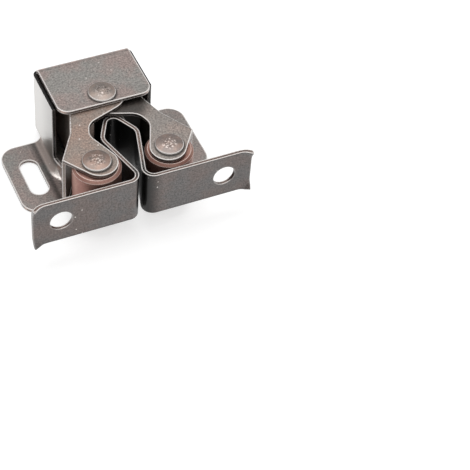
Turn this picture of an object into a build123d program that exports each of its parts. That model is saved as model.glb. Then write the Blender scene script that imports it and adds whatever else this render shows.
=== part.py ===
from build123d import *
import math
import os

# Double roller catch with its spear strike, in millimetres.
#
# The catch screws to a cabinet through the slots in its two ears, and the strike
# screws to the door. The strike's folded head is held between two sprung rollers.
#
# Frame: +Z up from the plane the ears rest on, -Y out of the cabinet towards the
# door, X across. Pieces are modelled about the pivot rivet's axis and moved to the
# middle of the footprint when they are written.

# ---------------------------------------------------------------- driving dimensions
sheet = 0.8                 # thickness of the housing and arm sheet
seat_gap = 0.1              # clearance between plates that lie on each other
running_gap = 0.05          # radial clearance of a hole on a rivet shank

# housing
housing_width = 24.2        # across the two side walls
housing_height = 17.9       # from the bottom plate's underside to the top plate's top
base_lift = 1.9             # height of the bottom plate over the ears' plane
seam_gap = 0.1              # between the top plate's side edges and the side walls
plate_front = 3.5           # plates' front edge, ahead of the pivot
plate_corner = 2.7          # radius of the plates' front corners
rear_wall = 13.5            # rear wall's outer face, behind the pivot
plate_bend = 2.3            # outer radius of the bend from plate to rear wall
corner_bend = 1.6           # outer radius of the bend from rear wall to side wall
wall_front = 0.2            # side wall's front edge, ahead of the pivot
wall_drop = 1.4             # side wall's top edge, below the plate's top

# ears
ear_span = 46.0             # across both ears
ear_front = 12.9            # ears' front edge, ahead of the pivot
ear_length = 21.3           # ears, front to back
ear_corner = 4.0            # radius of the ears' outer corners
ear_bend = 2.0              # inner radius of the bend from side wall to ear
lip_start = 0.5             # where the bend starts to curl in, ahead of the pivot
lip_curl = 8.35             # radius of the curl in plan, at the bend's foot
lip_height = 3.2            # lip's edge at the wall, over the ears' plane
lip_crown = 5.0             # radius of the lip's edge as it falls to the ear
lip_notch = 0.6             # radius between the wall's front edge and the lip
slot_spread = 35.2          # between the two slots' centre lines
slot_middle = 2.4           # slots' middle, ahead of the pivot
slot_length = 11.5
slot_width = 4.4

# rear window
window_width = 14.2
window_height = 10.8
window_chamfer = 2.2
window_round = 0.8

# arms
arm_reach = 21.15           # from the pivot to a roller's axis
eye_radius = 5.1            # of the flange round the pivot
boss_radius = 4.1           # of the flange round the roller rivet
boss_shift = 0.5            # boss centre, in and forward of the roller's axis
hollow_width = 7.3          # half width of the round hollow for the head
hollow_front = 11.2         # where the hollow is widest, ahead of the pivot
hollow_rear = 7.5           # the hollow's rear corner, ahead of the pivot
hollow_corner = 5.9         # the hollow's rear corner, off the middle plane
hollow_round = 3.6
corner_out = 7.0            # arm wall's front corner, outward of the roller's axis
corner_behind = 3.01        # the same corner, behind the roller's axis
waist_out = 11.0            # arm wall's bend
waist_front = 8.8
shoulder_out = 9.0          # where the arm wall turns straight back
shoulder_front = 3.0
tail_out = 8.7              # arm wall's rear end
tail_rear = 9.4
tail_flange = 3.6           # width of the flange at the tail
arm_bend = 0.6              # outer radius of the bend from flange to wall

# rivets
shank_radius = 1.8
pivot_head = 3.15           # radius of the pivot rivet's heads
roller_head = 3.2           # radius of the roller rivets' heads
head_rim = 0.4              # height of a head's edge
head_dome = 0.8             # height of a head in its middle

# rollers
roller_radius = 5.5
roller_gap = 0.3            # between a roller and each flange
roller_chamfer = 0.6

# spring between the arm tails
spring_behind = 6.2         # spring's axis, behind the pivot
spring_radius = 2.6         # to the middle of the wire
spring_wire = 0.8
spring_turns = 7
spring_gap = 0.15           # between the coil's ends and the tails
dimple_radius = 1.7
dimple_height = 1.2

# strike
strike_sheet = 0.9
strike_length = 52.0
rim_gap = 0.4               # between the strike's rims and the arm flanges
flank_gap = 0.42            # between a roller and the head's flank
neck_gap = 0.49             # between a roller and the strike's ear
neck_half = 0.25            # flank's start on the ears' plane, off the middle plane
neck_round = 2.2            # radii on the middle of the sheet
head_half = 4.25            # head's widest corner, off the middle plane
head_depth = 15.0           # the same corner, behind the ears' plane
head_round = 3.2
tip_depth = 23.0            # where the two nose flanks would meet
tip_round = 2.0
strike_holes = 38.8         # between the two screw holes
strike_hole_radius = 2.65
barb_leg = 3.0              # leg of each bent corner
barb_angle = 47.0           # how far each corner is bent towards the door
barb_bend = 1.6             # inner radius of that bend

# ---------------------------------------------------------------- derived places
housing_top = base_lift + housing_height
right_floor = base_lift + sheet + seat_gap
left_floor = right_floor + sheet + seat_gap
arm_height = housing_top - sheet - seat_gap - left_floor
middle = (right_floor + left_floor + arm_height) / 2
strike_height = right_floor + arm_height - left_floor - 2 * (sheet + rim_gap)
flank_angle = math.atan2(head_half - neck_half, head_depth - strike_sheet / 2)
roller_depth = strike_sheet + neck_gap + roller_radius
flank_reach = roller_radius + flank_gap + strike_sheet / 2
roller_x = (neck_half + flank_reach / math.cos(flank_angle)
            + (roller_depth - strike_sheet / 2) * math.tan(flank_angle))
roller_y = -math.sqrt(arm_reach**2 - roller_x**2)
strike_plane = roller_depth - roller_y
wall_corner = (roller_x + corner_out, roller_y + corner_behind)
side_inner = housing_width / 2 - sheet
plate_width = 2 * (side_inner - seam_gap)
spring_length = 2 * (tail_out - sheet - spring_gap)
barb_turn = math.radians(barb_angle)
barb_tip = barb_leg / math.sqrt(2) - barb_bend * math.sin(barb_turn)
barb_reach = barb_bend * (1 - math.cos(barb_turn)) + barb_tip * math.sin(barb_turn)
front_end = -strike_plane - barb_reach
footprint_middle = (front_end + rear_wall) / 2


# ---------------------------------------------------------------- helpers
def slab(face, low, high):
    """A face drawn on the XY plane, raised from one height to another."""
    return Pos(0, 0, low) * extrude(face, high - low)


def post(x, y, radius, low, high):
    """An upright cylinder between two heights."""
    return slab(Pos(x, y) * Circle(radius), low, high)


def tangent_point(point, centre, radius, turn):
    """Where a line from a point touches a circle, on the side given by turn (1 or -1)."""
    away = math.atan2(point[1] - centre[1], point[0] - centre[0])
    swing = math.acos(radius / math.dist(point, centre))
    angle = away + turn * swing
    return (centre[0] + radius * math.cos(angle), centre[1] + radius * math.sin(angle))


def rounded(face, corner, radius):
    """Round the corner of a face that lies nearest to a point."""
    nearest = min(face.vertices(), key=lambda v: math.dist((v.X, v.Y), corner))
    return fillet(nearest, radius)


def strip(points, thickness, side):
    """A band of even width on one side of a run of points."""
    return make_face(offset(Polyline(*points), thickness, side=side, kind=Kind.INTERSECTION).edges())


def dome(radius, rim, height):
    """A rivet head that sits on the XY plane: an upright edge under a ball-shaped crown."""
    crown = height - rim
    ball = (radius**2 + crown**2) / (2 * crown)
    return post(0, 0, radius, 0, height) & Pos(0, 0, height - ball) * Sphere(ball)


def rivet(x, y, low, high, radius):
    """A rivet that clamps everything between two heights, with a domed head at each end."""
    shank = post(0, 0, shank_radius, low, high)
    head = dome(radius, head_rim, head_dome)
    foot = Rot(180, 0, 0) * head
    return Pos(x, y, 0) * (shank + Pos(0, 0, high) * head + Pos(0, 0, low) * foot)


# ---------------------------------------------------------------- housing
def plate_envelope(inset, width):
    """The outside of the top plate, rear wall and bottom plate, less an inset all round."""
    length = plate_front + rear_wall
    height = housing_height - 2 * inset
    radius = plate_bend - inset
    face = Rectangle(length, height)
    face = fillet(face.vertices().group_by(Axis.X)[-1], radius)
    placed = Plane.YZ * Pos((rear_wall - plate_front) / 2 - inset, base_lift + housing_height / 2) * face
    return extrude(placed, width / 2, both=True)


def plates():
    """Top plate, rear wall and bottom plate: one sheet bent round the pivot."""
    channel = plate_envelope(0, plate_width) - plate_envelope(sheet, plate_width + 2)
    depth = plate_front + rear_wall
    plan = Pos(0, (rear_wall - plate_front) / 2) * Rectangle(plate_width, depth)
    for across in (-1, 1):
        plan = rounded(plan, (across * plate_width / 2, -plate_front), plate_corner)
    return channel & slab(plan, 0, housing_top + sheet)


def side_walls():
    """Both side walls and the rear wall's bends, as one folded band."""
    outer = Pos(0, rear_wall - wall_length() / 2) * Rectangle(housing_width, wall_length())
    for across in (-1, 1):
        outer = rounded(outer, (across * housing_width / 2, rear_wall), corner_bend)
    inner = Pos(0, rear_wall - sheet - wall_length() / 2) * Rectangle(2 * side_inner, wall_length())
    for across in (-1, 1):
        inner = rounded(inner, (across * side_inner, rear_wall - sheet), corner_bend - sheet)
    band = slab(outer - inner, ear_bend + sheet, housing_top - wall_drop)
    heel = slab(outer - inner, base_lift, ear_bend + sheet) & behind_ears()
    return (band + heel) & plate_envelope(0, housing_width + 2)


def wall_length():
    """Side wall, front to back."""
    return rear_wall + wall_front


def behind_ears():
    """Everything behind the ears' rear edge."""
    rear_edge = ear_length - ear_front
    return Pos(0, rear_edge, 0) * Box(
        2 * ear_span, ear_span, 4 * housing_top, align=(Align.CENTER, Align.MIN, Align.CENTER))


def ear(across):
    """One ear, its bend up into the side wall and the lip that curls in ahead of the wall."""
    turn = ear_bend + sheet
    foot = side_inner + turn
    quarter = Circle(turn) - Circle(ear_bend)
    quarter &= Pos(-turn / 2, -turn / 2) * Rectangle(turn, turn)
    section = Pos(foot, turn) * quarter
    section += Pos(side_inner + sheet / 2, (turn + wall_top()) / 2) * Rectangle(sheet, wall_top() - turn)
    rear = ear_length - ear_front
    body = Pos(0, rear, 0) * extrude(Plane.XZ * section, rear + lip_start)
    body += revolve(Plane.XZ.offset(lip_start) * section,
                    Axis((foot - lip_curl, -lip_start, 0), (0, 0, -1)), curl_angle())
    body &= wall_profile(foot)
    edge = housing_width / 2
    flat = ear_span / 2 - foot
    plan = Pos(foot + flat / 2, ear_length / 2 - ear_front) * Rectangle(flat, ear_length)
    for end in (-ear_front, rear):
        plan = rounded(plan, (ear_span / 2, end), ear_corner)
    lead = ear_front - lip_start
    strap = Pos((edge + foot) / 2, lead / 2 - ear_front) * Rectangle(foot - edge, lead)
    plan += strap - Pos(foot - lip_curl, -lip_start) * Circle(lip_curl)
    plan -= Pos(slot_spread / 2, -slot_middle) * SlotOverall(slot_length, slot_width, rotation=90)
    whole = body + slab(plan, 0, sheet)
    return whole if across > 0 else mirror(whole, Plane.YZ)


def wall_top():
    """Height of the side walls' top edge."""
    return housing_top - wall_drop


def curl_angle():
    """How far the lip curls before its foot runs out over the ear's inner edge."""
    return math.degrees(math.acos(1 - ear_bend / lip_curl))


def wall_profile(reach):
    """Side view of the wall and its bend: upright behind, a low lip falling to the ear in front."""
    rear = ear_length - ear_front
    lip_end = lip_start + lip_curl * math.sin(math.radians(curl_angle()))
    crown = RadiusArc((-wall_front, lip_height), (-lip_end, sheet), -lip_crown)
    edge = Polyline((-lip_end, sheet), (-lip_end, 0), (rear, 0), (rear, wall_top()),
                    (-wall_front, wall_top()), (-wall_front, lip_height))
    face = rounded(make_face([*edge.edges(), crown]), (-wall_front, lip_height), lip_notch)
    return extrude(Plane.YZ * face, reach)


def window():
    """The eight-sided hole through the rear wall."""
    face = chamfer(Rectangle(window_width, window_height).vertices(), window_chamfer)
    face = fillet(face.vertices(), window_round)
    height = base_lift + housing_height / 2
    return extrude(Plane.XZ.offset(-rear_wall - sheet) * Pos(0, height) * face, 3 * sheet)


def housing():
    body = plates() + side_walls() + ear(1) + ear(-1)
    body -= window()
    return body - post(0, 0, shank_radius + running_gap, 0, housing_top + sheet)


# ---------------------------------------------------------------- arms
def flange_outline():
    """Plan of one flange of the arm on the +X side."""
    boss = (roller_x - boss_shift, roller_y - boss_shift)
    hollow = (hollow_width, -hollow_front)
    rear_corner = (hollow_corner, -hollow_rear)
    inner_tail = (tail_out - tail_flange, tail_rear)
    points = [
        (0, 0),
        tangent_point(rear_corner, (0, 0), eye_radius, -1),
        rear_corner,
        hollow,
        tangent_point(hollow, boss, boss_radius, 1),
        boss,
        tangent_point(wall_corner, boss, boss_radius, -1),
        wall_corner,
        *wall_points()[1:],
        inner_tail,
        tangent_point(inner_tail, (0, 0), eye_radius, 1),
    ]
    face = make_face(Polyline(*points, close=True))
    for spot in (hollow, rear_corner):
        face = rounded(face, spot, hollow_round)
    return face + Circle(eye_radius) + Pos(*boss) * Circle(boss_radius)


def wall_points():
    """The arm wall's outer face, from its front corner to its tail."""
    return [wall_corner, (waist_out, -waist_front),
            (shoulder_out, -shoulder_front), (tail_out, tail_rear)]


def outer_bends(body):
    """The long edges where the two flanges turn down into the outer wall."""
    points = wall_points()
    middles = [((a[0] + b[0]) / 2, (a[1] + b[1]) / 2) for a, b in zip(points, points[1:])]
    level = [e for e in body.edges() if abs(e.tangent_at(0.5).Z) < 0.5]
    return [e for e in level if any(math.dist((e.center().X, e.center().Y), m) < 0.01 for m in middles)]


def arm(across, floor):
    """One arm: two flanges joined by an outer wall, with a dimple that holds the spring."""
    outline = flange_outline()
    top = floor + arm_height
    body = slab(strip(wall_points(), sheet, Side.LEFT), floor, top)
    body += slab(outline, floor, floor + sheet) + slab(outline, top - sheet, top)
    body = fillet(outer_bends(body), arm_bend)
    dimple = Plane.YZ.offset(tail_out - sheet - dimple_height) * Pos(spring_behind, middle)
    body += extrude(dimple * Circle(dimple_radius), dimple_height + sheet / 2)
    for x, y in ((0, 0), (roller_x, roller_y)):
        body -= post(x, y, shank_radius + running_gap, floor - sheet, top + sheet)
    return body if across > 0 else mirror(body, Plane.YZ)


# ---------------------------------------------------------------- rollers and rivets
def roller(across, floor):
    low = floor + sheet + roller_gap
    high = floor + arm_height - sheet - roller_gap
    body = post(0, 0, roller_radius, low, high)
    rims = body.edges().filter_by(GeomType.CIRCLE)
    body = chamfer(rims, roller_chamfer)
    body -= post(0, 0, shank_radius + running_gap, low - 1, high + 1)
    return Pos(across * roller_x, roller_y, 0) * body


def roller_rivet(across, floor):
    return rivet(across * roller_x, roller_y, floor, floor + arm_height, roller_head)


def pivot_rivet():
    return rivet(0, 0, base_lift, housing_top, pivot_head)


# ---------------------------------------------------------------- spring
def spring():
    """A coil spring across the housing, between the two arm tails."""
    rise = spring_length - spring_wire
    path = Helix(rise / spring_turns, rise, spring_radius)
    start = Plane(origin=path @ 0, z_dir=path % 0)
    coil = sweep(start * Circle(spring_wire / 2), path)
    return Pos(-rise / 2, spring_behind, middle) * (Rot(0, 90, 0) * coil)


# ---------------------------------------------------------------- strike
def strike_outline():
    """Plan of the folded strip: ear, neck, spear head, neck, ear."""
    plane = strike_sheet / 2
    half = strike_length / 2
    points = [(-half, plane), (-neck_half, plane), (-head_half, head_depth), (0, tip_depth),
              (head_half, head_depth), (neck_half, plane), (half, plane)]
    radii = [neck_round, head_round, tip_round, head_round, neck_round]
    fold = FilletPolyline(*points, radius=radii)
    folded = make_face(offset(fold, strike_sheet / 2, side=Side.BOTH).edges())
    return folded & Rectangle(strike_length, 4 * tip_depth)


def corner_prism(across, up, leg):
    """A triangle through the sheet, on the fold of a bent corner and reaching out from it."""
    x = across * (strike_length - barb_leg + leg) / 2
    z = middle + up * (strike_height - barb_leg + leg) / 2
    triangle = Polyline((x, z), (x - across * leg, z), (x, z - up * leg), close=True)
    return extrude(Plane.XZ * make_face(triangle), -strike_sheet)


def barb(across, up):
    """A corner bent towards the door about a diagonal fold, and trimmed to the strip's outline."""
    x = across * strike_length / 2
    z = middle + up * strike_height / 2
    near, far = (x - across * barb_leg, z), (x, z - up * barb_leg)
    fold = Axis((near[0], -barb_bend, near[1]), Vector(across, 0, -up).normalized())
    turn = across * up * barb_angle
    section = Polyline((near[0], 0, near[1]), (far[0], 0, far[1]), (far[0], strike_sheet, far[1]),
                       (near[0], strike_sheet, near[1]), close=True)
    bend = revolve(make_face(section), fold, turn)
    tip = corner_prism(across, up, barb_tip * math.sqrt(2)).rotate(fold, turn)
    return (bend + tip) & Pos(0, 0, middle) * Box(strike_length, 4 * tip_depth, strike_height)


def strike():
    low = middle - strike_height / 2
    body = slab(strike_outline(), low, low + strike_height)
    hole = extrude(Plane.XZ * Circle(strike_hole_radius), 2 * strike_sheet, both=True)
    for across in (-1, 1):
        body -= Pos(across * strike_holes / 2, 0, middle) * hole
        for up in (-1, 1):
            body = body - corner_prism(across, up, barb_leg) + barb(across, up)
    return Pos(0, -strike_plane, 0) * body


# ---------------------------------------------------------------- output
pieces = {
    "housing": housing(),
    "pivot_rivet": pivot_rivet(),
    "left_arm": arm(-1, left_floor),
    "right_arm": arm(1, right_floor),
    "left_roller": roller(-1, left_floor),
    "right_roller": roller(1, right_floor),
    "left_roller_rivet": roller_rivet(-1, left_floor),
    "right_roller_rivet": roller_rivet(1, right_floor),
    "spring": spring(),
    "strike": strike(),
}

os.makedirs("parts", exist_ok=True)
for name, piece in pieces.items():
    export_step(Pos(0, -footprint_middle, 0) * piece, f"parts/{name}.step")
print("origin lies", round(-footprint_middle, 4), "mm ahead of the pivot axis")
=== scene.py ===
import math

import bpy
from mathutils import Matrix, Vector


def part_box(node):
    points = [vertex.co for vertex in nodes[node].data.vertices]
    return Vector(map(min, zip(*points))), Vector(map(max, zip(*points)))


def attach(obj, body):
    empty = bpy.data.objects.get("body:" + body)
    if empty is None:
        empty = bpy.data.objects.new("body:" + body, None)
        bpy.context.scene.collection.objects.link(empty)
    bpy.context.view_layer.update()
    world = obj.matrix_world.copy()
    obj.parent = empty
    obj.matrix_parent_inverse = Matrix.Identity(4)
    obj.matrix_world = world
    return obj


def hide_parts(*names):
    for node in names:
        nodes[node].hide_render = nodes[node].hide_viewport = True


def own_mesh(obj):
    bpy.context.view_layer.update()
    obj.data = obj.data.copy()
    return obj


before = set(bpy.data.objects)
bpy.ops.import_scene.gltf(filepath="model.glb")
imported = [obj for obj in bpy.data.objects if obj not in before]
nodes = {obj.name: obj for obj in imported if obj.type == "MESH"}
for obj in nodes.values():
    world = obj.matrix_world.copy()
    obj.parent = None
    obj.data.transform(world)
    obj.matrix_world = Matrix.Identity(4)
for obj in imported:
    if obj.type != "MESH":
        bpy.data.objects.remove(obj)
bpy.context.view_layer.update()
bpy.ops.object.select_all(action="DESELECT")

# ---------------------------------------------------------------- housing
# One steel sheet folded round the pivot: top plate, rear wall, bottom plate, two side
# walls and two slotted ears. It is copper plated, blackened, rubbed back and lacquered, so
# flats are a speckled brown grey, recesses stay black and every cut edge is worn bright
# with a painted highlight.


class Tone:
    """A value, colour or vector on its way through a finish, used in plain expressions."""

    def __init__(self, tree, socket):
        self.tree = tree
        self.socket = socket

    def node(self, kind, inputs=None, out=0, **settings):
        """One node of a kind: its settings are set first, then its sockets are filled or linked."""
        made = self.tree.nodes.new("ShaderNode" + kind)
        for name, value in settings.items():
            setattr(made, name, value)
        for name, value in (inputs or {}).items():
            self.fill(made.inputs[name], value)
        return Tone(self.tree, made.outputs[out])

    def fill(self, socket, value):
        """A socket takes a link from a tone, or a plain value."""
        if isinstance(value, Tone):
            self.tree.links.new(value.socket, socket)
        else:
            socket.default_value = value

    def maths(self, operation, first, second=0.0):
        return self.node("Math", {0: first, 1: second}, operation=operation)

    def __add__(self, other):
        return self.maths("ADD", self, other)

    def __radd__(self, other):
        return self.maths("ADD", other, self)

    def __sub__(self, other):
        return self.maths("SUBTRACT", self, other)

    def __rsub__(self, other):
        return self.maths("SUBTRACT", other, self)

    def __mul__(self, other):
        return self.maths("MULTIPLY", self, other)

    def __rmul__(self, other):
        return self.maths("MULTIPLY", other, self)

    def __abs__(self):
        return self.maths("ABSOLUTE", self)

    def most(self, other):
        """The larger of two values."""
        return self.maths("MAXIMUM", self, other)

    def rise(self, low, high):
        """0 below low, 1 above high and a soft step between them."""
        return self.node("MapRange", {"Value": self, "From Min": low, "From Max": high},
                         interpolation_type="SMOOTHSTEP")

    def over(self, colour, amount):
        """This colour with another laid over it by an amount."""
        return self.node("Mix", {0: amount, 6: self, 7: colour}, out=2, data_type="RGBA")

    def shade(self, brightness):
        """This colour made lighter or darker."""
        return self.node("HueSaturation", {"Color": self, "Value": brightness})


def colour(red, green, blue):
    """A colour in screen values of 0 to 255, as a shader's linear colour."""
    linear = [c / 255 / 12.92 if c < 10 else ((c / 255 + 0.055) / 1.055) ** 2.4 for c in (red, green, blue)]
    return (*linear, 1.0)


class Finish:
    """A new material with its shader, and what a plated metal's pattern is made from."""

    def __init__(self, name):
        self.material = bpy.data.materials.new(name)
        self.material.use_nodes = True
        tree = self.material.node_tree
        self.shader = tree.nodes["Principled BSDF"]
        self.start = Tone(tree, None)
        self.place = self.start.node("TexCoord", out=3)
        self.x, self.y, self.z = self.parts(self.place)
        self.nx, self.ny, self.nz = self.parts(self.start.node("TexCoord", out=1))

    def parts(self, vector):
        """The three parts of a vector."""
        split = self.start.node("SeparateXYZ", {0: vector}).socket.node
        return [Tone(split.id_data, split.outputs[i]) for i in range(3)]

    def between(self, first, second, amount):
        """The first colour where the amount is 0, the second where it is 1."""
        return self.start.node("Mix", {0: amount, 6: first, 7: second}, out=2, data_type="RGBA")

    def grain(self, size, detail=2.0, rough=0.5):
        """Noise whose blobs are about size metres across."""
        return self.start.node("TexNoise", {"Vector": self.place, "Scale": 1 / size, "Detail": detail,
                                            "Roughness": rough})

    def specks(self, spacing, share, size):
        """Sparse round dots, one in a share of the cells of a grid of points."""
        near = self.start.node("TexVoronoi", {"Vector": self.place, "Scale": 1 / spacing})
        cell = self.start.node("TexVoronoi", {"Vector": self.place, "Scale": 1 / spacing}, out=1)
        pick = self.start.node("SeparateColor", {0: cell})
        return (1 - near.rise(size / spacing * 0.5, size / spacing)) * pick.rise(1 - share, 1 - share * 0.8)

    def edges(self, radius):
        """1 on the sharp edges of the piece, falling to 0 at radius from them, and the rounded normal."""
        soft = self.start.node("Bevel", {"Radius": radius}, samples=8)
        flat = self.start.node("NewGeometry", out=3)
        agree = self.start.node("VectorMath", {0: soft, 1: flat}, operation="DOT_PRODUCT", out=1)
        return (1 - agree).rise(0.006, 0.04), soft

    def hollows(self, reach):
        """1 where the piece closes in on itself within a reach, 0 on its open outside."""
        return 1 - self.start.node("AmbientOcclusion", {"Distance": reach}, out=1, samples=8, only_local=True)

    def off_axis(self, x, y):
        """How far from an upright axis."""
        across, along = self.x - x, self.y - y
        return self.start.maths("SQRT", across * across + along * along)

    def wear(self, **sockets):
        """What each of the shader's sockets gets."""
        for name, value in sockets.items():
            self.start.fill(self.shader.inputs[name.replace("_", " ")], value)

    def dress(self, piece):
        """The finish goes on all of a piece."""
        piece.data.materials.clear()
        piece.data.materials.append(self.material)


black_and_shadow = colour(24, 21, 20)
bare_edge_highlight = colour(252, 246, 242)
dust = colour(235, 228, 222)


class AntiquePlate(Finish):
    """Blackened copper plating over steel sheet, rubbed back and lacquered."""

    def __init__(self, name, flat, warm, rim, rims, reach=0.004):
        super().__init__(name)
        self.reach = reach
        clouds = self.grain(0.006, 3, 0.55).rise(0.36, 0.64)
        self.speckle = self.grain(0.00042, 3, 0.6)
        self.base = self.between(flat, warm, clouds)
        self.base = self.base.over(rim, rims(self))
        self.base = self.base.shade(self.speckle * 2.2 - 0.10)
        self.worn, self.soft = self.edges(0.00050)

    def ring(self, name):
        """1 just round a rivet's head, for blackening with a painted shadow that leans to its mouth side, 0 a
        little further out.
        """
        low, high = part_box(name)
        radius, lean, spread = (high.x - low.x) / 2, 0.0003, 0.0006
        away = self.off_axis((low.x + high.x) / 2, (low.y + high.y) / 2 - lean)
        return 1 - away.rise(radius, radius + spread)

    def lacquer(self):
        """Dark recesses, bright worn edges with a painted highlight, and dust, under a clear lacquer."""
        dots = self.specks(spacing=0.0016, share=0.2, size=0.0002)
        base = self.base.over(dust, dots * 0.9)
        hollow = self.hollows(self.reach).rise(0.40, 0.7)
        base = base.over(colour(22, 20, 19), hollow * 0.95)
        # Every edge is worn bright and carries a painted highlight.
        base = base.over(bare_edge_highlight, self.worn)
        bump = self.start.node("Bump", {"Height": self.speckle, "Strength": 0.25, "Distance": 0.00004,
                                        "Normal": self.soft})
        self.wear(Base_Color=base, Metallic=0.9 - self.worn * 0.8,
                  Roughness=0.34 + self.speckle * 0.2 + hollow * 0.3, Normal=bump,
                  Coat_Weight=0.6 - hollow * 0.6, Coat_Roughness=0.2)


plate_under = 0.0190        # underside of the top plate
ear_face = 0.0008           # upper face of the ears
blur = 0.0002               # over which a mask fades out


def housing_rims(finish):
    """The cut faces: round the top plate, and round the ears and their slots."""
    upright = 1 - abs(finish.nz).rise(0.2, 0.5)
    before_bend = 1 - finish.y.rise(0.0178, 0.0184)
    plate = finish.z.rise(plate_under - blur, plate_under) * before_bend
    ears = 1 - finish.z.rise(ear_face, ear_face + blur / 2)
    return upright * (plate + ears)


finish = AntiquePlate("antique_housing", colour(138, 135, 131), colour(148, 134, 129),
                      colour(96, 76, 68), housing_rims)
aside = abs(finish.x)
# The ears are painted darker than the rest, a painted shade.
ears = aside.rise(0.0136, 0.0142) * (1 - finish.z.rise(ear_face + blur / 2, ear_face + blur * 1.5))
finish.base = finish.base.shade(1 - ears * 0.16)
front_strip = finish.z.rise(plate_under, plate_under + blur) * (1 - finish.y.rise(0.0050, 0.0085))
finish.base = finish.base.shade(1 - front_strip * 0.09)

# The rear wall is painted a little lighter, as painted light, and its bends and corners are
# rubbed to copper with a painted highlight.
bend_copper_and_sheen = (finish.ny * finish.nz).rise(0.10, 0.42) * finish.grain(0.0012, 3).rise(0.36, 0.62)
corner_copper_and_sheen = abs(finish.nx * finish.ny).rise(0.12, 0.42) * finish.grain(0.0012, 3).rise(0.40, 0.66)
finish.base = finish.base.over(colour(190, 162, 152), bend_copper_and_sheen).over(colour(188, 160, 146), corner_copper_and_sheen)
rear_lit = finish.ny.rise(0.90, 0.97) * finish.y.rise(0.0180, 0.0190)
finish.base = finish.base.shade(1 + rear_lit * 0.10)

# The side walls' outer faces carry a painted reflection, lighter towards the rear, and a
# painted shade low down in front.
outside = abs(finish.nx).rise(0.9, 0.97) * aside.rise(0.0118, 0.0120)
painted_reflection = finish.between(colour(180, 178, 175), colour(216, 214, 211), finish.y.rise(0.007, 0.016))
finish.base = finish.base.over(painted_reflection, outside * 0.92)
low_front_shade = (1 - finish.z.rise(0.0040, 0.0090)) * (1 - finish.y.rise(0.0080, 0.0130))
finish.base = finish.base.over(colour(104, 102, 99), outside * low_front_shade * 0.85)

# The bends to the ears are rubbed to copper with a painted sheen, with a speckled painted
# highlight at their front end and a painted shade along their foot.
turn = abs(finish.nx * finish.nz) * aside.rise(0.0119, 0.0121)
finish.base = finish.base.over(colour(158, 145, 138), turn.rise(0.10, 0.30) * 0.8)
front_end_highlight = turn.rise(0.05, 0.16) * (1 - finish.y.rise(0.0026, 0.0052))
finish.base = finish.base.over(colour(246, 238, 232), front_end_highlight * finish.grain(0.0005, 2).rise(0.30, 0.50))
foot_shade = aside.rise(0.0132, 0.0141) * (1 - aside.rise(0.0141, 0.0158)) * finish.nz.rise(0.9, 0.98)
finish.base = finish.base.over(colour(46, 43, 41), foot_shade * 0.7)

# A painted shadow lies on the walls' tops under the plate's edge, the walls' front edges and
# the lips' rims are painted black, and round the rivet is blackening with a painted shadow.
wall_top_shadow = (finish.nz.rise(0.8, 0.9) * finish.z.rise(0.0176, 0.0178)
            * (1 - finish.z.rise(plate_under - blur, plate_under)))
wall_front = ((1 - abs(finish.nx).rise(0.03, 0.10)) * (0 - finish.ny).rise(0.15, 0.40)
              * aside.rise(0.0112, 0.0113) * finish.z.rise(0.0009, 0.0012))
rivet_black_and_shadow = finish.ring("pivot_rivet") * finish.z.rise(0.0195, 0.0197) * 0.8
finish.base = finish.base.over(black_and_shadow, wall_top_shadow + wall_front + rivet_black_and_shadow)
finish.worn = finish.worn * (1 - wall_top_shadow) * (1 - wall_front * 0.7)
finish.lacquer()
finish.dress(nodes["housing"])

# ---------------------------------------------------------------- arms
# Two folded channels that cross on the pivot, one sheet thickness apart. Each carries a
# roller between its flanges, and its outer wall ends in the tail the spring pushes on.


def flange_rims(low, high):
    """The cut faces round both flanges of an arm that stands between two heights."""
    def rims(finish):
        upright = 1 - abs(finish.nz).rise(0.2, 0.5)
        return upright * (finish.z.rise(high - 0.0009, high - 0.0008)
                          + 1 - finish.z.rise(low + 0.0008, low + 0.0009))
    return rims


arm_tones = {"left": (colour(138, 127, 119), colour(148, 128, 117)),
             "right": (colour(136, 130, 125), colour(143, 131, 124))}
low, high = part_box("pivot_rivet")
pivot = ((low.x + high.x) / 2, (low.y + high.y) / 2)
for side, (flat, warm) in arm_tones.items():
    low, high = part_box(side + "_arm")
    rims = flange_rims(low.z, high.z)
    finish = AntiquePlate("antique_" + side + "_arm", flat, warm, colour(78, 60, 52), rims, reach=0.009)
    # Painted shadow on the right arm near the pivot, where it runs under the top plate.
    if side == "right":
        under_plate_shadow = 1 - finish.off_axis(*pivot).rise(0.0090, 0.0122)
        finish.base = finish.base.over(colour(52, 48, 45), under_plate_shadow * 0.85)
    # Round the roller rivet's head: blackening with a painted shadow, deepest on its front side.
    finish.base = finish.base.over(black_and_shadow, finish.ring(side + "_roller_rivet") * 0.8)
    # Edges and bends are rubbed bright with a painted highlight, less so on the flange rims.
    bent = abs(finish.nz).rise(0.25, 0.6) * (1 - abs(finish.nz).rise(0.85, 0.98))
    rubbed_and_highlit = finish.worn * (1 - rims(finish) * 0.6)
    finish.worn = rubbed_and_highlit.most(bent * finish.grain(0.0004, 2).rise(0.3, 0.6) * 0.8)
    finish.lacquer()
    finish.dress(nodes[side + "_arm"])

# ---------------------------------------------------------------- rollers
# Turned steel rollers with a thin copper plating, free on their rivets. Their chamfers
# are worn bright with a painted highlight, and the right one is the darker of the two.
roller_tones = {"left": (colour(162, 120, 110), colour(182, 142, 130)),
                "right": (colour(146, 106, 96), colour(164, 126, 114))}
for side, (dull, bright) in roller_tones.items():
    finish = Finish("copper_" + side + "_roller")
    speckle = finish.grain(0.0003, 2, 0.6)
    clouds = finish.grain(0.004, 3).rise(0.35, 0.65)
    worn, soft = finish.edges(0.00026)
    base = finish.between(dull, bright, clouds).shade(0.6 + speckle * 0.8)
    base = base.over(colour(248, 228, 218), worn)
    finish.wear(Base_Color=base, Metallic=0.85 - worn * 0.7, Roughness=0.42 + speckle * 0.14, Normal=soft)
    finish.dress(nodes[side + "_roller"])
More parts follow.
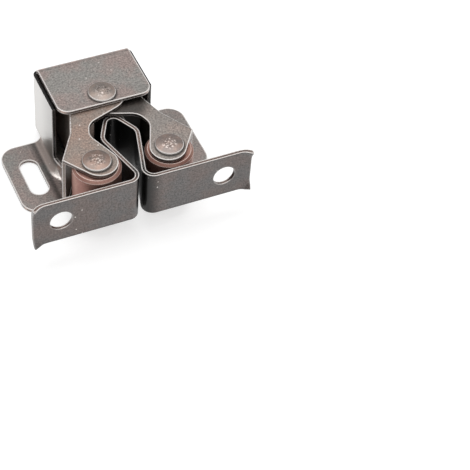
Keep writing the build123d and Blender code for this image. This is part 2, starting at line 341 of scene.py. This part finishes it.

# ---------------------------------------------------------------- rivets
# Steel rivets closed by peening, which leaves struck marks in the middle of each head.
# They are plated with the rest and left black on the shank. Their rims carry a painted
# reflection, their front edges are worn bright with a painted highlight, their back edges
# carry painted shade and their struck marks painted glints.
rivet_tones = {"pivot_rivet": (colour(138, 130, 125), colour(152, 138, 130)),
               "left_roller_rivet": (colour(128, 117, 111), colour(148, 127, 117)),
               "right_roller_rivet": (colour(132, 122, 118), colour(152, 134, 126))}
dome = 0.0004               # height of a head's dome over its rim
for name, (dull, copper) in rivet_tones.items():
    low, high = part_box(name)
    middle = (low + high) / 2
    finish = Finish("rubbed_" + name)
    speckle = finish.grain(0.00035, 3, 0.65)
    clouds = finish.grain(0.002, 3).rise(0.35, 0.65)
    worn, soft = finish.edges(0.00036)
    off_axis = finish.off_axis(middle.x, middle.y)
    rim_height = (high.z - low.z) / 2 - dome
    below_dome = 1 - abs(finish.z - middle.z).rise(rim_height - 0.00002, rim_height + 0.00004)
    inside = 1 - off_axis.rise(0.0011, 0.0024)
    struck = finish.grain(0.00045, 2, 0.7)
    mouth_side = (middle.y - finish.y).rise(-0.0006, 0.0010)
    base = finish.between(dull, copper, clouds).shade(0.5 + speckle * 1.0)
    # The struck marks are painted bright as painted glints, and dark.
    base = base.over(colour(250, 236, 228), inside * struck.rise(0.56, 0.65) * 0.7)
    base = base.over(colour(58, 44, 38), inside * (1 - struck.rise(0.37, 0.44)) * 0.7)
    # Painted shade on the back edges, a painted highlight on the front edges and a painted reflection round
    # the rim step.
    base = base.over(colour(58, 50, 46), worn * (1 - mouth_side) * 0.7)
    rim = below_dome * off_axis.rise(0.0024, 0.0027)
    bright = rim.most(worn * mouth_side)
    base = base.over(bare_edge_highlight, bright)
    base = base.over(colour(28, 26, 25), below_dome - rim)
    height = speckle * 0.3 + inside * struck * 1.4
    bump = finish.start.node("Bump", {"Height": height, "Strength": 0.6, "Distance": 0.00012, "Normal": soft})
    finish.wear(Base_Color=base, Metallic=0.9 - bright * 0.8, Roughness=0.34 + speckle * 0.16, Normal=bump)
    finish.dress(nodes[name])

# ---------------------------------------------------------------- spring
# Dark spring wire, coiled close and pressed between the two arm tails. It shortens as the
# strike spreads the rollers, so a copy of the coil stands for the rigid one.
coil = bpy.data.objects.new("coil_spring", nodes["spring"].data.copy())
bpy.context.scene.collection.objects.link(coil)
coil.select_set(True)
bpy.context.view_layer.objects.active = coil
bpy.ops.object.mode_set(mode="EDIT")
bpy.ops.mesh.select_all(action="SELECT")
bpy.ops.mesh.remove_doubles(threshold=0.000001)
bpy.ops.object.mode_set(mode="OBJECT")
coil.select_set(False)
finish = Finish("spring_wire")
speckle = finish.grain(0.0003, 2)
finish.wear(Base_Color=finish.between(colour(70, 69, 67), colour(96, 94, 91), speckle),
            Metallic=0.9, Roughness=0.3 + speckle * 0.15)
finish.dress(coil)
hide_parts("spring")
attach(coil, "housing")
low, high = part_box("spring")
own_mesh(coil)

# ---------------------------------------------------------------- strike
# One strip folded into a spear head, with its four corners bent to bite into the door.
# Its plating is a little darker, with sheared rims above and below that are worn bright
# with a painted highlight.


def strike_rims(finish):
    """The sheared faces on top of and under the strip."""
    return abs(finish.nz).rise(0.6, 0.9)


finish = AntiquePlate("antique_strike", colour(101, 98, 97), colour(109, 98, 94), colour(100, 82, 74),
                      strike_rims, reach=0.010)
flat_faces = 1 - strike_rims(finish)
finish.worn = finish.worn * (0.15 + strike_rims(finish) * 0.85)
low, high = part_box("strike")
half = (high.z - low.z) / 2
along_rims = abs(finish.z - (low.z + high.z) / 2).rise(half - 0.00045, half - 0.00015)
finish.base = finish.base.over(colour(36, 32, 30), along_rims * flat_faces * 0.75)

# Painted shade: the head's inner faces are painted dark, the throat near black as a painted
# shadow, and the right neck's fold in front of it as a painted dark reflection.
in_front = 1 - finish.y.rise(-0.0150, -0.0120)
throat = (1 - abs(finish.x).rise(0.0010, 0.0020)) * in_front
right_fold = finish.x.rise(0.0002, 0.0006) * (1 - finish.x.rise(0.0014, 0.0048)) * in_front
head_y = -0.006             # middle of the head, which its inner faces look at
inward = 0 - (finish.nx * finish.x + finish.ny * (finish.y - head_y))
inside = inward.rise(0.0, 0.0005) * finish.y.rise(-0.0172, -0.0164) * flat_faces
finish.base = finish.base.over(colour(42, 42, 41), inside)
right_end = finish.x.rise(0.0140, 0.0230)
finish.base = finish.base.shade(1 - right_end * 0.13)
finish.base = finish.base.over(colour(24, 23, 22), throat * 0.95).over(colour(26, 25, 24), right_fold * 0.85)
finish.lacquer()
finish.dress(nodes["strike"])

# ---------------------------------------------------------------- floor, light and camera
# A white sweep that keeps the shadow, one large overhead softbox and an even white
# surround. The camera looks down from the left, over the strike.
bpy.ops.mesh.primitive_plane_add(size=6.0, location=(0, 0, 0))
floor = bpy.context.active_object
floor.name = "floor"
floor_paint = bpy.data.materials.new("floor_white")
floor_paint.use_nodes = True
start = Tone(floor_paint.node_tree, None)
paint = floor_paint.node_tree.nodes["Principled BSDF"]
paint.inputs["Base Color"].default_value = (0.52, 0.52, 0.52, 1)
paint.inputs["Roughness"].default_value = 0.9
seen = start.node("LightPath", out=0)
mirrored = start.node("LightPath", out=3)
paint.inputs["Emission Color"].default_value = (1, 1, 1, 1)
start.fill(paint.inputs["Emission Strength"], (seen + mirrored) * 0.62)
floor.data.materials.append(floor_paint)

world = bpy.data.worlds.new("surround")
bpy.context.scene.world = world
world.use_nodes = True
start = Tone(world.node_tree, None)
back = world.node_tree.nodes["Background"]
back.inputs["Color"].default_value = (1, 1, 1, 1)
start.fill(back.inputs["Strength"], 0.62 + start.node("LightPath", out=0) * 0.38)

softbox = bpy.data.lights.new("overhead", "AREA")
softbox.shape = "RECTANGLE"
softbox.size = softbox.size_y = 0.45
softbox.energy = 1.6
lamp = bpy.data.objects.new("overhead", softbox)
bpy.context.scene.collection.objects.link(lamp)
lamp.location = (0.03, 0.12, 0.55)
lamp.rotation_euler = (Vector((0, 0, 0)) - lamp.location).to_track_quat("-Z", "Y").to_euler()

lens = bpy.data.cameras.new("camera")
lens.lens = 124.014
lens.sensor_width = 36.0
lens.clip_start = 0.01
camera = bpy.data.objects.new("camera", lens)
bpy.context.scene.collection.objects.link(camera)
camera.location = (-0.0983124, -0.2458222, 0.2720848)
camera.rotation_euler = [math.radians(a) for a in (42.15798, -3.70324, -24.20782)]
bpy.context.scene.camera = camera
bpy.context.scene.view_settings.view_transform = "Standard"
